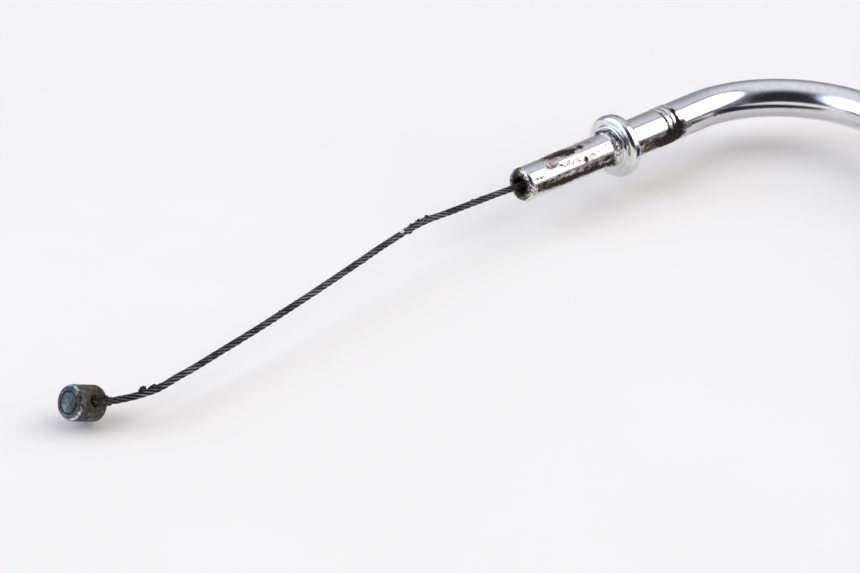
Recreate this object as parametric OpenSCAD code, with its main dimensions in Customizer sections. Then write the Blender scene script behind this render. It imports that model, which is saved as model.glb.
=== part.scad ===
// Motorcycle throttle cable: twist grip end, guide pipe, adjuster, casing and carburettor end.
// +X runs along the guide pipe from its mouth, the bend turns towards -Y, +Z is up.
// The origin is the centre of the pipe collar's front face. The cable lies on z = -rest_h.

/* [Guide pipe] */
// Diameter of the pipe
pipe_d = 7.2; // [6.8:0.1:7.6]
// Diameter of the slim tip that enters the twist grip housing
tip_d = 6.2; // [5.6:0.1:6.6]
// Length of the tip and shoulder in front of the collar face
tip_len = 23; // [18:0.5:24]
// Length of the full pipe diameter in front of the collar face
shoulder_len = 1.6; // [1:0.1:4]
// Bore of the pipe
bore_d = 3; // [2.6:0.1:3.4]
// Straight length behind the collar face, up to the bend
straight_len = 23; // [20:0.5:26]
// Radius of the bend's centre line
bend_r = 22.5; // [18:0.5:26]
// Straight length behind the bend, as far as the adjuster stud's socket floor
outlet_len = 24; // [20:0.5:26]
// Depth of the marking rings on the pipe
ring_depth = 0.15; // [0.05:0.05:0.3]
// Distance from the collar face to the middle marking ring
ring_pos = 13.2; // [12:0.1:19]
// Spacing of the marking rings
ring_gap = 1.3; // [0.9:0.1:1.5]

/* [Collar] */
// Diameter of the collar's flange
collar_d = 11.6; // [10:0.1:13]
// Thickness of the flange
collar_t = 2.4; // [1.6:0.1:3]
// Radius of the flange's rounded rim
collar_round = 0.9; // [0.3:0.1:1]
// Diameter of the low hub in front of the flange
hub_d = 8.4; // [7.8:0.1:9]
// Height of the low hub
hub_t = 0.6; // [0.3:0.1:1]

/* [Wire] */
// Diameter of the inner wire
wire_d = 1.2; // [1:0.1:1.4]
// Diameter of the twist grip nipple
grip_nipple_d = 5.8; // [5:0.1:6]
// Length of the twist grip nipple
grip_nipple_len = 6.1; // [5:0.1:6.5]
// Diameter and length of the carburettor nipple
carb_nipple_d = 5; // [4:0.1:6]
// Bore of the low-friction liner
liner_bore = 1.8; // [1.7:0.1:2.2]

/* [Adjuster] */
// Thread diameter of the adjuster stud
stud_d = 8; // [7.6:0.1:8.4]
// Pitch of the adjuster thread
stud_pitch = 1.25; // [1:0.25:1.5]
// Width across the flats of the lock nut and the barrel
hex_af = 13; // [12:0.5:13]
// Diameter of the barrel's knurled grip
barrel_d = 12; // [11:0.5:13]
// Diameter of the rubber boot
boot_d = 18; // [17.6:0.1:18]
// Length of the rubber boot
boot_len = 51; // [50:0.5:52]

/* [Casing] */
// Diameter of the casing
casing_d = 6; // [5.8:0.1:6]
// Radius of the coil's top turn, between its two lower turns
coil_r = 36; // [35:0.5:37]
// Distance of the coil's centre from the pipe's line
coil_y = 167; // [166:1:169]

/* [Carburettor end] */
// Thread diameter of the carburettor ferrule
ferrule_d = 6; // [5.6:0.1:6]
// Pitch of the ferrule thread
ferrule_pitch = 1; // [0.75:0.25:1]
// Width across the flats of the bracket nuts
bracket_af = 10; // [9:0.5:10]
// Gap between the washers for the carburettor's bracket
bracket_gap = 3; // [2:0.5:3.5]

/* [Hidden] */
$fn = 64;
eps = 0.01;
rest_h = 9;            // height of the pipe's axis above the surface it lies on
run_gap = 0.04;        // radial running clearance in nuts and barrel
bend_x = straight_len + bend_r;

// Places along the adjuster, measured from the end of the bend
stud_start = 16;
stud_end = 54;
nut_at = 38;
nut_t = 5;
washer_at = nut_at + nut_t;
washer_t = 1.2;
barrel_at = washer_at + washer_t;
barrel_end = 70;
barrel_hex_t = 7.8;
seat_at = 60;
cap_at = 61;
cap_end = 76;
casing_at = 64;
cap_r = 4.5;
boot_at = 33;

// Places along the carburettor end, measured from where the casing leaves the coil
carb_cap_at = 20;
casing_end = 34;
flange_t = 2;
thread_at = casing_end + flange_t;
thread_end = 66;
tip_end = 69;
seal_end = 74;
rear_nut_at = 40;
bracket_nut_t = 5;
bracket_washer_t = 1.2;
rear_washer_at = rear_nut_at + bracket_nut_t;
front_washer_at = rear_washer_at + bracket_washer_t + bracket_gap;
front_nut_at = front_washer_at + bracket_washer_t;
carb_wire_at = 61;
carb_nipple_at = 116;

// The coil lies on its ties: two turns side by side, and one nested on top
tie_t = 0.95;
casing_r = casing_d / 2;
coil_x = bend_x - coil_r;
coil_z = casing_r + 1 - rest_h;
top_z = coil_z + 5.2;
carb_y = -coil_y - coil_r - casing_r;
carb_x = coil_x;
carb_z = -3.2;

// Attitude of the twist grip nipple and of the wire that enters its side
grip_nipple_at = [-119.6, -0.8, -5.1];
nipple_tilt = 24;
nipple_heading = 183;
nipple_roll = 118;

// Routes of the free wires and of the casing's uncoiled stretches
GRIP_ROUTE = [
  [14, 0, 0], [-4, 0, 0], [-23, 0, 0], [-28, 0.4, 0], [-36, 0.8, 0], [-41, 1.1, 0],
  [-44.5, 1.4, 0], [-47, 1.4, -0.2], [-55, 0.3, -0.6], [-63.5, -1.3, -1], [-72, -2.7, -1.5],
  [-80, -4, -1.9], [-87.5, -5, -2.4], [-95.5, -6, -2.8], [-102.5, -6.7, -3.3], [-106, -6.9, -3.5],
  [-109.5, -7.4, -3.6], [-112.5, -7.1, -3.6], [-115, -6.3, -3.7], [-117.2, -5.2, -3.8],
  [-118.5, -4.2, -3.8], [-119, -3.2, -4], [-119.4, -1.6, -4.7]
];
RUN_ROUTE = [
  [bend_x, -86.5, 0], [bend_x, -100, 0], [bend_x, -113, 0], [bend_x, -125, 0], [bend_x, -136, 0],
  [bend_x, -141, 0.4], [bend_x, -146, 0.9], [bend_x, -151, 1.1], [bend_x, -157, 0.8],
  [bend_x, -162, 0.4], [bend_x, -coil_y, top_z]
];
TAIL_ROUTE = [
  [0, 0, coil_z], [4, 0, coil_z], [8, 0, -4.6], [12, 0, -3.8], [16, 0, -3.3],
  [20, 0, carb_z], [casing_end, 0, carb_z]
];

// ---- helpers ----

function unit(v) = v / norm(v);
function heading(p, i) = unit(p[min(i + 1, len(p) - 1)] - p[max(i - 1, 0)]);
function side_of(t) = unit(cross(t, [0, 0, 1]));
function ring_at(c, t, r, n) =
  let (s = side_of(t), u = cross(s, t))
  [for (k = [0:n - 1]) c + r * (cos(360 * k / n) * s + sin(360 * k / n) * u)];

// A round tube swept along a route, one ring at each of its points
module sweep(route, r, n) {
  m = len(route);
  rings = [for (i = [0:m - 1]) each ring_at(route[i], heading(route, i), r, n)];
  sides = [
    for (i = [0:m - 2], k = [0:n - 1])
      [i * n + k, i * n + (k + 1) % n, (i + 1) * n + (k + 1) % n, (i + 1) * n + k]
  ];
  first = [for (k = [n - 1:-1:0]) k];
  last = [for (k = [0:n - 1]) (m - 1) * n + k];
  polyhedron(rings, concat([first], sides, [last]), convexity = 4);
}

// Frames: z runs along the pipe, along the adjuster, along the carburettor end
module along_pipe() {
  rotate([0, 90, 0]) children();
}
module along_adjuster() {
  translate([bend_x, -bend_r, 0]) rotate([90, 0, 0]) children();
}
module along_carb() {
  translate([carb_x, carb_y, carb_z]) rotate([0, -90, 0]) children();
}

module hex_prism(af, t) {
  cylinder(h = t, d = af / cos(30), $fn = 6);
}

// A nut: a hexagon with chamfered corners and a plain bore
module nut(af, t, bore_r) {
  corner = af / cos(30) / 2;
  rise = 0.5;
  difference() {
    intersection() {
      hex_prism(af, t);
      union() {
        cylinder(h = rise, r1 = corner - 0.8, r2 = corner);
        translate([0, 0, rise]) cylinder(h = t - 2 * rise, r = corner);
        translate([0, 0, t - rise]) cylinder(h = rise, r1 = corner, r2 = corner - 0.8);
      }
    }
    translate([0, 0, -1]) cylinder(h = t + 2, r = bore_r);
  }
}

module washer(r_out, r_in, t) {
  difference() {
    cylinder(h = t, r = r_out);
    translate([0, 0, -1]) cylinder(h = t + 2, r = r_in);
  }
}

// Half outline of a thread drawn as rings, from z = a to z = b
function thread_points(r, pitch, a, b) =
  let (count = floor((b - a) / pitch), depth = 0.45 * pitch)
  [for (k = [0:count - 1], q = [[0.1, 0], [0.45, depth], [0.55, depth], [0.9, 0]])
    [r - q[1], a + (k + q[0]) * pitch]];

module threaded_rod(r, pitch, a, b) {
  rotate_extrude()
    polygon(concat([[0, a], [r, a]], thread_points(r, pitch, a, b), [[r, b], [0, b]]));
}

// ---- twist grip end ----

// Outside of the tip: shoulder, slim tube and rounded mouth
module tip_outside() {
  tip_r = tip_d / 2;
  mouth_round = 0.9;
  rotate_extrude()
    polygon(concat(
      [[0, -tip_len]],
      [for (a = [-90:18:0]) [
        tip_r - mouth_round + mouth_round * cos(a),
        -tip_len + mouth_round + mouth_round * sin(a)
      ]],
      [
        [tip_r, -shoulder_len - 0.5], [pipe_d / 2 - 0.2, -shoulder_len],
        [pipe_d / 2, -shoulder_len + 0.2], [pipe_d / 2, 1], [0, 1]
      ]
    ));
}

module marking_ring() {
  rotate_extrude()
    translate([pipe_d / 2 + 0.3 - ring_depth, 0])
      circle(r = 0.3, $fn = 24);
}

module pipe_path(r) {
  along_pipe() cylinder(h = straight_len, r = r);
  translate([straight_len, -bend_r, 0])
    rotate_extrude(angle = 90) translate([bend_r, 0]) circle(r = r);
  along_adjuster() cylinder(h = outlet_len, r = r);
}

module guide_pipe() color("silver") difference() {
  union() {
    along_pipe() tip_outside();
    pipe_path(pipe_d / 2);
  }
  pipe_path(bore_d / 2);
  along_pipe() translate([0, 0, -tip_len - 1]) cylinder(h = tip_len + 2, d = bore_d);
  along_pipe() translate([0, 0, -tip_len - eps]) cylinder(h = 0.8, r1 = 2.1, r2 = bore_d / 2);
  for (k = [-1:1])
    along_pipe() translate([0, 0, ring_pos + k * ring_gap]) marking_ring();
}

module pipe_collar() color("gainsboro") along_pipe() {
  rim = collar_d / 2 - collar_round;
  rotate_extrude()
    polygon(concat(
      [[pipe_d / 2, -hub_t], [hub_d / 2 - 0.2, -hub_t], [hub_d / 2, -hub_t + 0.2], [hub_d / 2, 0]],
      [for (a = [-90:18:0]) [rim + collar_round * cos(a), collar_round * (1 + sin(a))]],
      [for (a = [0:18:90]) [rim + collar_round * cos(a), collar_t - collar_round * (1 - sin(a))]],
      [[pipe_d / 2, collar_t]]
    ));
}

module liner_core(r) {
  along_pipe() translate([0, 0, -12]) cylinder(h = straight_len + 12, r = r);
  translate([straight_len, -bend_r, 0])
    rotate_extrude(angle = 90) translate([bend_r, 0]) circle(r = r);
  along_adjuster() cylinder(h = stud_end, r = r);
}

module pipe_liner() color("ivory") difference() {
  liner_core(bore_d / 2);
  liner_core(liner_bore / 2);
  along_pipe() translate([0, 0, -13]) cylinder(h = 2, d = liner_bore);
  along_adjuster() translate([0, 0, stud_end - 1]) cylinder(h = 2, d = liner_bore);
}

module grip_wire() color("dimgray") sweep(GRIP_ROUTE, wire_d / 2, 8);

// A barrel nipple along z, with the wire's hole in its side towards +X
module nipple(d, length, round_r, wire_depth) {
  r = d / 2;
  difference() {
    rotate_extrude()
      polygon(concat(
        [[0, -length / 2]],
        [for (a = [-90:18:0]) [
          r - round_r + round_r * cos(a),
          round_r * (1 + sin(a)) - length / 2
        ]],
        [for (a = [0:18:90]) [
          r - round_r + round_r * cos(a),
          length / 2 - round_r * (1 - sin(a))
        ]],
        [[0, length / 2]]
      ));
    translate([r - wire_depth, 0, 0])
      rotate([0, 90, 0]) cylinder(h = wire_depth + 1, d = wire_d + 0.1);
  }
}

module grip_nipple() color("slategray")
  translate(grip_nipple_at) rotate([0, 90 - nipple_tilt, nipple_heading]) rotate([0, 0, nipple_roll])
    difference() {
      nipple(grip_nipple_d, grip_nipple_len, 0.5, 2.2);
      translate([0, 0, grip_nipple_len / 2]) rotate_extrude()
        translate([grip_nipple_d / 4, 0]) circle(r = 0.15, $fn = 16);
    }

// ---- adjuster ----

module adjuster_stud() color("lightgray") along_adjuster() difference() {
  union() {
    translate([0, 0, stud_start]) cylinder(h = 8, r = 5.2);
    threaded_rod(stud_d / 2, stud_pitch, stud_start + 8 - eps, stud_end);
  }
  translate([0, 0, stud_start - 1]) cylinder(h = outlet_len - stud_start + 1, d = pipe_d);
  cylinder(h = stud_end + 1, d = bore_d);
}

module lock_nut() color("lightsteelblue") along_adjuster()
  translate([0, 0, nut_at]) nut(hex_af, nut_t, stud_d / 2 + run_gap);

module lock_washer() color("darkgray") along_adjuster()
  translate([0, 0, washer_at]) washer(6.4, stud_d / 2 + 0.1, washer_t);

module adjuster_barrel() color("lightsteelblue") along_adjuster() difference() {
  union() {
    translate([0, 0, barrel_at]) nut(hex_af, barrel_hex_t, 1);
    translate([0, 0, barrel_at + barrel_hex_t - 0.5]) difference() {
      cylinder(h = barrel_end - barrel_at - barrel_hex_t + 0.5, d = barrel_d);
      for (k = [0:7])
        translate([0, 0, 2 + 2 * k]) rotate_extrude()
          translate([barrel_d / 2, 0]) circle(r = 0.3, $fn = 16);
    }
  }
  translate([0, 0, barrel_at - 1]) cylinder(h = seat_at - barrel_at + 2, r = stud_d / 2 + run_gap);
  translate([0, 0, seat_at]) cylinder(h = barrel_end - seat_at + 1, r = cap_r + 0.05);
}

module casing_cap() color("silver") along_adjuster() difference() {
  union() {
    translate([0, 0, cap_at]) cylinder(h = cap_end - cap_at - 0.6, r = cap_r);
    translate([0, 0, cap_end - 0.6]) cylinder(h = 0.6, r1 = cap_r, r2 = cap_r - 0.6);
  }
  translate([0, 0, cap_at - 1]) cylinder(h = 5, d = bore_d);
  translate([0, 0, casing_at]) cylinder(h = cap_end - casing_at + 1, r = casing_r + 0.05);
}

// The boot: beads that it lies on, thin walls, a cone and a ribbed neck
module adjuster_boot() color("dimgray") along_adjuster() translate([0, 0, boot_at]) {
  r = boot_d / 2;
  inner = hex_af / cos(30) / 2 + 0.25;
  neck = casing_r + 0.3;
  rotate_extrude()
    polygon([
      [inner, 0], [r - 0.4, 0], [r, 0.4], [r, 2.6], [r - 0.4, 3], [r - 0.4, 13], [r, 13.4],
      [r, 15], [r - 0.4, 15.4], [r - 0.4, 25], [r, 25.4], [r, 27], [r - 0.4, 27.4],
      [r - 0.4, 36], [r, 36.4], [r, 38], [r - 0.5, 39], [neck + 2.4, boot_len - 7],
      [neck + 1.4, boot_len - 6], [neck + 2.2, boot_len - 5], [neck + 1.4, boot_len - 4],
      [neck + 2.2, boot_len - 3], [neck + 1.4, boot_len - 2], [neck + 2, boot_len - 1],
      [neck + 1.6, boot_len], [neck, boot_len], [neck, boot_len - 6.5],
      [cap_r + 0.5, boot_len - 7.5], [inner, boot_len - 13]
    ]);
}

// ---- casing ----

module casing_run() color("dimgray") sweep(RUN_ROUTE, casing_r, 12);

// One turn of the coil, from one angle to another
module turn(r, z, from, to) {
  rotate([0, 0, from]) rotate_extrude(angle = to - from)
    translate([r, z]) circle(r = casing_r, $fn = 48);
}

// The inner turn all the way round, the outer one up to where the casing leaves,
// and the top turn from where it comes in
module casing_coil() color("dimgray") translate([coil_x, -coil_y, 0]) {
  turn(coil_r - casing_r, coil_z, 0, 360);
  turn(coil_r + casing_r, coil_z, -90, 210);
  turn(coil_r, top_z, -170, 0);
  rotate([0, 0, -90]) rotate_extrude(angle = 300)
    translate([coil_r - casing_r, coil_z - casing_r]) square(casing_d);
}

module casing_tail() color("dimgray") translate([carb_x, carb_y, 0])
  sweep([for (p = TAIL_ROUTE) [-p[0], p[1], p[2]]], casing_r, 12);

// A cable tie's band round the turns, with its head outside
module coil_tie(turn, top) {
  pad = 0.05;
  width = 3.6;
  spots = top ? [[-1, coil_z], [1, coil_z], [0, top_z]] : [[-1, coil_z], [1, coil_z]];
  color("white") translate([coil_x, -coil_y, 0]) rotate([0, 0, turn]) translate([0, width / 2, 0])
    rotate([90, 0, 0]) linear_extrude(width)
      difference() {
        union() {
          hull() for (s = spots)
            translate([coil_r + s[0] * casing_r, s[1]]) circle(r = casing_r + tie_t + pad, $fn = 32);
          translate([coil_r + casing_d + 0.4, coil_z - 2.4]) square([3, 4.8]);
        }
        hull() for (s = spots)
          translate([coil_r + s[0] * casing_r, s[1]]) circle(r = casing_r + pad, $fn = 32);
      }
}

module coil_tie_1() coil_tie(-60, true);
module coil_tie_2() coil_tie(65, false);
module coil_tie_3() coil_tie(140, false);

// ---- carburettor end ----

module carb_cap() color("silver") along_carb() difference() {
  union() {
    translate([0, 0, carb_cap_at + 0.5]) cylinder(h = casing_end - carb_cap_at - 0.5, r = 4.1);
    translate([0, 0, carb_cap_at]) cylinder(h = 0.5, r1 = 3.7, r2 = 4.1);
  }
  translate([0, 0, carb_cap_at - 1]) cylinder(h = casing_end, r = casing_r + 0.05);
  for (z = [carb_cap_at + 4, carb_cap_at + 9])
    translate([0, 0, z]) rotate_extrude() translate([4.5, 0]) circle(r = 0.8, $fn = 24);
}

module carb_ferrule() color("lightgray") along_carb() difference() {
  union() {
    translate([0, 0, casing_end]) cylinder(h = flange_t, r = 5);
    threaded_rod(ferrule_d / 2, ferrule_pitch, thread_at - eps, thread_end - 8);
    translate([0, 0, thread_end - 8 - eps]) cylinder(h = 8, d = ferrule_d);
    translate([0, 0, thread_end - 2 * eps]) cylinder(h = tip_end - thread_end, r = 2.2);
  }
  translate([0, 0, casing_end - 1]) cylinder(h = tip_end, d = liner_bore);
}

module rear_nut() color("lightsteelblue") along_carb()
  translate([0, 0, rear_nut_at]) rotate([0, 0, 30]) nut(bracket_af, bracket_nut_t, ferrule_d / 2 + run_gap);

module rear_washer() color("darkgray") along_carb()
  translate([0, 0, rear_washer_at]) washer(5.5, ferrule_d / 2 + 0.1, bracket_washer_t);

module front_washer() color("darkgray") along_carb()
  translate([0, 0, front_washer_at]) washer(5.5, ferrule_d / 2 + 0.1, bracket_washer_t);

module front_nut() color("lightsteelblue") along_carb()
  translate([0, 0, front_nut_at]) rotate([0, 0, 30]) nut(bracket_af, bracket_nut_t, ferrule_d / 2 + run_gap);

// A rubber seal pushed over the ferrule's tip
module carb_seal() color("dimgray") along_carb()
  rotate_extrude()
    polygon([
      [2.2, thread_end], [2.8, thread_end], [2.8, tip_end], [2.3, tip_end + 0.6],
      [2.7, tip_end + 1.4], [2.1, tip_end + 2.2], [2.4, tip_end + 3], [1.8, seal_end - 1],
      [1.4, seal_end], [wire_d / 2 + 0.3, seal_end], [wire_d / 2 + 0.3, tip_end], [2.2, tip_end]
    ]);

module carb_wire() color("dimgray") along_carb()
  translate([0, 0, carb_wire_at])
    rotate([0, 0, 22.5]) cylinder(h = carb_nipple_at - 1 - carb_wire_at, d = wire_d, $fn = 8);

module carb_nipple() color("slategray") along_carb() translate([0, 0, carb_nipple_at])
  rotate([90, 0, 0]) rotate([0, 0, -90]) nipple(carb_nipple_d, carb_nipple_d, 0.4, 2);

guide_pipe();
pipe_collar();
pipe_liner();
grip_wire();
grip_nipple();
adjuster_stud();
lock_nut();
lock_washer();
adjuster_barrel();
casing_cap();
adjuster_boot();
casing_run();
casing_coil();
casing_tail();
coil_tie_1();
coil_tie_2();
coil_tie_3();
carb_cap();
carb_ferrule();
rear_nut();
rear_washer();
front_washer();
front_nut();
carb_seal();
carb_wire();
carb_nipple();
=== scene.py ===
"""A motorcycle throttle cable lying on a pale surface, seen from its twist-grip end."""
import math

import bpy
from mathutils import Matrix, Vector, noise


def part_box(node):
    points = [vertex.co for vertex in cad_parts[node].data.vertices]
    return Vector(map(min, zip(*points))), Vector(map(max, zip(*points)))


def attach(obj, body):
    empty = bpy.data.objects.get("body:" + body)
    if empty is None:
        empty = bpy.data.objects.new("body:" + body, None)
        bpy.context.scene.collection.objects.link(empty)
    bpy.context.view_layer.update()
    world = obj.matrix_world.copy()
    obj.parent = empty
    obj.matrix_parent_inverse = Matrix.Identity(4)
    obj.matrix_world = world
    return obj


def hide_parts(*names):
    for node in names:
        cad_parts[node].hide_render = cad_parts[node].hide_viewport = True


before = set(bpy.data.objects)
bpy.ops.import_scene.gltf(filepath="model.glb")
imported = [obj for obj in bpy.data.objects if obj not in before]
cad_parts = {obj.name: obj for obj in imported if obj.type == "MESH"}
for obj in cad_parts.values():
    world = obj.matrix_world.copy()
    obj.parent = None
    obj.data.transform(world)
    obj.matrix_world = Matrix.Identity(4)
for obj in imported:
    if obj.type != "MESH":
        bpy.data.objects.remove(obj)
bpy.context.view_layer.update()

MM = 0.001

# ---- sizes and places, in millimetres, with the CAD frame's own figures first ----


def node_box(name):
    """A CAD node's lowest and highest corners in millimetres."""
    low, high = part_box(name)
    return Vector(low) / MM, Vector(high) / MM


PIPE_LOW, PIPE_HIGH = node_box("guide_pipe")
PIPE_R = PIPE_HIGH.z
MOUTH = PIPE_LOW.x
BEND_X = PIPE_HIGH.x - PIPE_R
BEND_R = 22.5
STRAIGHT = BEND_X - BEND_R
OUTLET = -BEND_R - PIPE_LOW.y
TIP_R = 3.1
BORE_R = 1.5
RING_POS = 13.2
RING_GAP = 1.3
COLLAR_R = node_box("pipe_collar")[1].z
COLLAR_T = node_box("pipe_collar")[1].x
FLOOR_Z = -9.0
CASING_R = 3.0
COIL_R = 36.0
COIL_CENTRE = Vector((BEND_X - COIL_R, -167, 0))
COIL_Z = -5.0
COIL_TOP_Z = 0.2
STRAND_AT = 0.4
KINK_X = -45.2
CARB_X = BEND_X - COIL_R
CARB_Y = -206.0
CARB_Z = -3.2

GRIP_ROUTE = [
    (0.005, 0, 0), (-0.004, 0, 0), (-0.023, 0, 0), (-0.028, 0.0004, 0), (-0.036, 0.0008, 0),
    (-0.041, 0.0011, 0), (-0.0445, 0.0014, 0), (-0.047, 0.0014, -0.0002), (-0.055, 0.0003, -0.0006),
    (-0.0635, -0.0013, -0.001), (-0.072, -0.0027, -0.0015), (-0.080, -0.004, -0.0019),
    (-0.0875, -0.005, -0.0024), (-0.0955, -0.006, -0.0028), (-0.1025, -0.0067, -0.0033),
    (-0.106, -0.0069, -0.0035), (-0.1095, -0.0074, -0.0036), (-0.1125, -0.0071, -0.0036),
    (-0.115, -0.0063, -0.0037), (-0.1172, -0.0052, -0.0038), (-0.1185, -0.0042, -0.0038),
    (-0.119, -0.0032, -0.004), (-0.1194, -0.0016, -0.0047),
]
RUN_ROUTE = [
    (0.0455, -0.0865, 0), (0.0455, -0.100, 0), (0.0455, -0.113, 0), (0.0455, -0.125, 0),
    (0.0455, -0.136, 0), (0.0455, -0.141, 0.0004), (0.0455, -0.146, 0.0009),
    (0.0455, -0.151, 0.0011), (0.0455, -0.157, 0.0008), (0.0455, -0.162, 0.0004),
]
TAIL_ROUTE = [
    (0.0055, -0.206, -0.005), (0.0015, -0.206, -0.0046), (-0.0025, -0.206, -0.0038),
    (-0.0065, -0.206, -0.0033), (-0.0105, -0.206, -0.0032), (-0.0245, -0.206, -0.0032),
]
CARB_WIRE_ROUTE = [(-0.0515, -0.206, -0.0032), (-0.075, -0.206, -0.0032), (-0.1055, -0.206, -0.0032)]

# Local frames: z runs along the pipe, the adjuster and the carburettor end, x points up
ALONG_PIPE = Matrix(((0, 0, 1, 0), (0, -1, 0, 0), (1, 0, 0, 0), (0, 0, 0, 1)))
ALONG_ADJUSTER = Matrix((
    (0, -1, 0, BEND_X), (0, 0, -1, -BEND_R), (1, 0, 0, 0), (0, 0, 0, 1),
))
ALONG_CARB = Matrix((
    (0, 0, -1, CARB_X), (0, 1, 0, CARB_Y), (1, 0, 0, CARB_Z), (0, 0, 0, 1),
))
GRIP_NIPPLE_FRAME = (
    Matrix.Translation((-119.6, -0.8, -5.1))
    @ Matrix.Rotation(math.radians(183), 4, "Z")
    @ Matrix.Rotation(math.radians(66), 4, "Y")
    @ Matrix.Rotation(math.radians(118), 4, "Z")
)
CARB_NIPPLE_FRAME = (
    ALONG_CARB
    @ Matrix.Translation((0, 0, 116))
    @ Matrix.Rotation(math.radians(90), 4, "X")
    @ Matrix.Rotation(math.radians(-90), 4, "Z")
)


# ---- camera ----


def make_camera():
    """The camera that sees the pipe, the wire and the nipple as the photo does."""
    camera = bpy.data.objects.new("camera", bpy.data.cameras.new("camera"))
    bpy.context.collection.objects.link(camera)
    camera.location = (-0.344178, -0.319021, 0.220540)
    camera.rotation_euler = (math.radians(62), 0, math.radians(-43.2))
    camera.data.lens = 120
    camera.data.sensor_width = 36
    camera.data.clip_start = 0.01
    bpy.context.scene.camera = camera


# ---- mesh helpers ----


def smoothstep(a, b, x):
    t = min(max((x - a) / (b - a), 0.0), 1.0)
    return t * t * (3 - 2 * t)


def spline_point(p, u):
    """A point on the centripetal Catmull-Rom curve between p[1] and p[2]."""
    t = [0.0]
    for a, b in zip(p, p[1:]):
        t.append(t[-1] + math.sqrt(max((b - a).length, 1e-9)))
    x = t[1] + (t[2] - t[1]) * u

    def blend(a, b, i, j):
        return a * ((t[j] - x) / (t[j] - t[i])) + b * ((x - t[i]) / (t[j] - t[i]))

    a, b, c = (blend(p[i], p[i + 1], i, i + 1) for i in range(3))
    return blend(blend(a, b, 0, 2), blend(b, c, 1, 3), 1, 2)


def smooth_path(points, step):
    """The points' smooth curve, resampled at about that step. Both in millimetres."""
    pieces = 24
    points = [Vector(p) for p in points]
    ends = [2 * points[0] - points[1]] + points + [2 * points[-1] - points[-2]]
    dense = [points[0]]
    for i in range(len(points) - 1):
        dense += [spline_point(ends[i:i + 4], k / pieces) for k in range(1, pieces + 1)]
    lengths = [0.0]
    for a, b in zip(dense, dense[1:]):
        lengths.append(lengths[-1] + (b - a).length)
    count = max(round(lengths[-1] / step), 2)
    out, j = [], 0
    for k in range(count + 1):
        goal = lengths[-1] * k / count
        while j < len(lengths) - 2 and lengths[j + 1] < goal:
            j += 1
        share = (goal - lengths[j]) / max(lengths[j + 1] - lengths[j], 1e-9)
        out.append(dense[j].lerp(dense[j + 1], min(share, 1)))
    return out


def path_frames(path):
    """(tangent, normal, binormal) at each point, carried along without twist."""
    tangents = [
        (path[min(i + 1, len(path) - 1)] - path[max(i - 1, 0)]).normalized() for i in range(len(path))
    ]
    normal = Vector((0, 0, 1))
    frames = []
    for t in tangents:
        normal = (normal - t * normal.dot(t)).normalized()
        frames.append((t, normal, t.cross(normal)))
    return frames


def finish_mesh(name, verts, faces, sharp=35):
    """A smooth-shaded object from vertices in millimetres, with edges over that angle sharp."""
    mesh = bpy.data.meshes.new(name)
    mesh.from_pydata([v * MM for v in verts], [], faces)
    mesh.update()
    mesh.polygons.foreach_set("use_smooth", [True] * len(mesh.polygons))
    mesh.set_sharp_from_angle(angle=math.radians(sharp))
    piece = bpy.data.objects.new(name, mesh)
    bpy.context.collection.objects.link(piece)
    return piece


def skin_rings(rings, loop=False, start=0):
    """Faces that join rings of equal length, in order. loop joins the last one to the first."""
    n = len(rings[0])
    count = len(rings)
    faces = []
    for i in range(count if loop else count - 1):
        a, b = start + i * n, start + ((i + 1) % count) * n
        faces += [(a + k, a + (k + 1) % n, b + (k + 1) % n, b + k) for k in range(n)]
    if not loop:
        faces.append(tuple(start + k for k in range(n - 1, -1, -1)))
        faces.append(tuple(start + (count - 1) * n + k for k in range(n)))
    return faces


def add_rings(verts, faces, rings, loop=False):
    """Adds the skin over those rings to the lists of a mesh in the making."""
    faces += skin_rings(rings, loop, len(verts))
    verts += [v for ring in rings for v in ring]


def skin(name, rings, loop=False, sharp=35):
    verts, faces = [], []
    add_rings(verts, faces, rings, loop)
    return finish_mesh(name, verts, faces, sharp)


def arc(z, r, radius, start, end, count):
    """Outline points round (z, r). 0 degrees points outward, 90 degrees towards +z."""
    out = []
    for k in range(count + 1):
        a = math.radians(start + (end - start) * k / count)
        out.append((z + radius * math.sin(a), r + radius * math.cos(a)))
    return out


def refine(outline, step):
    """The outline with its long segments split."""
    out = [outline[0]]
    for (za, ra), (zb, rb) in zip(outline, outline[1:]):
        n = max(math.ceil(math.hypot(zb - za, rb - ra) / step), 1)
        out += [(za + (zb - za) * k / n, ra + (rb - ra) * k / n) for k in range(1, n + 1)]
    return out


def revolve(name, outline, place, sides=96, loop=False, shape=None, sharp=35):
    """The outline's (z, r) points turned about z. shape(z, r, angle) gives each point's radius."""
    rings = []
    for z, r in outline:
        ring = []
        for k in range(sides):
            a = 2 * math.pi * k / sides
            radius = shape(z, r, a) if shape else r
            ring.append(place @ Vector((radius * math.cos(a), radius * math.sin(a), z)))
        rings.append(ring)
    return skin(name, rings, loop, sharp=sharp)


def point_attribute(piece, name, values):
    attribute = piece.data.attributes.new(name, "FLOAT", "POINT")
    attribute.data.foreach_set("value", values)


def tube(name, path, radius, sides):
    rings = []
    for p, (t, n, b) in zip(path, path_frames(path)):
        rings.append([
            p + radius * (math.cos(2 * math.pi * k / sides) * n + math.sin(2 * math.pi * k / sides) * b)
            for k in range(sides)
        ])
    return skin(name, rings)


# ---- material helpers ----


def feed(tree, value, socket):
    """Links another node's output to the socket, or sets the socket to a plain value."""
    if hasattr(value, "links"):
        tree.links.new(value, socket)
    else:
        socket.default_value = value


def add_node(tree, kind, inputs, **settings):
    """A new node with those settings and inputs."""
    node = tree.nodes.new(f"ShaderNode{kind}")
    for key, value in settings.items():
        setattr(node, key, value)
    for key, value in inputs.items():
        feed(tree, value, node.inputs[key])
    return node


def opaque(colour):
    """The colour with full alpha, unless it comes from a node."""
    return colour if hasattr(colour, "links") else (*colour, 1)


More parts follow.
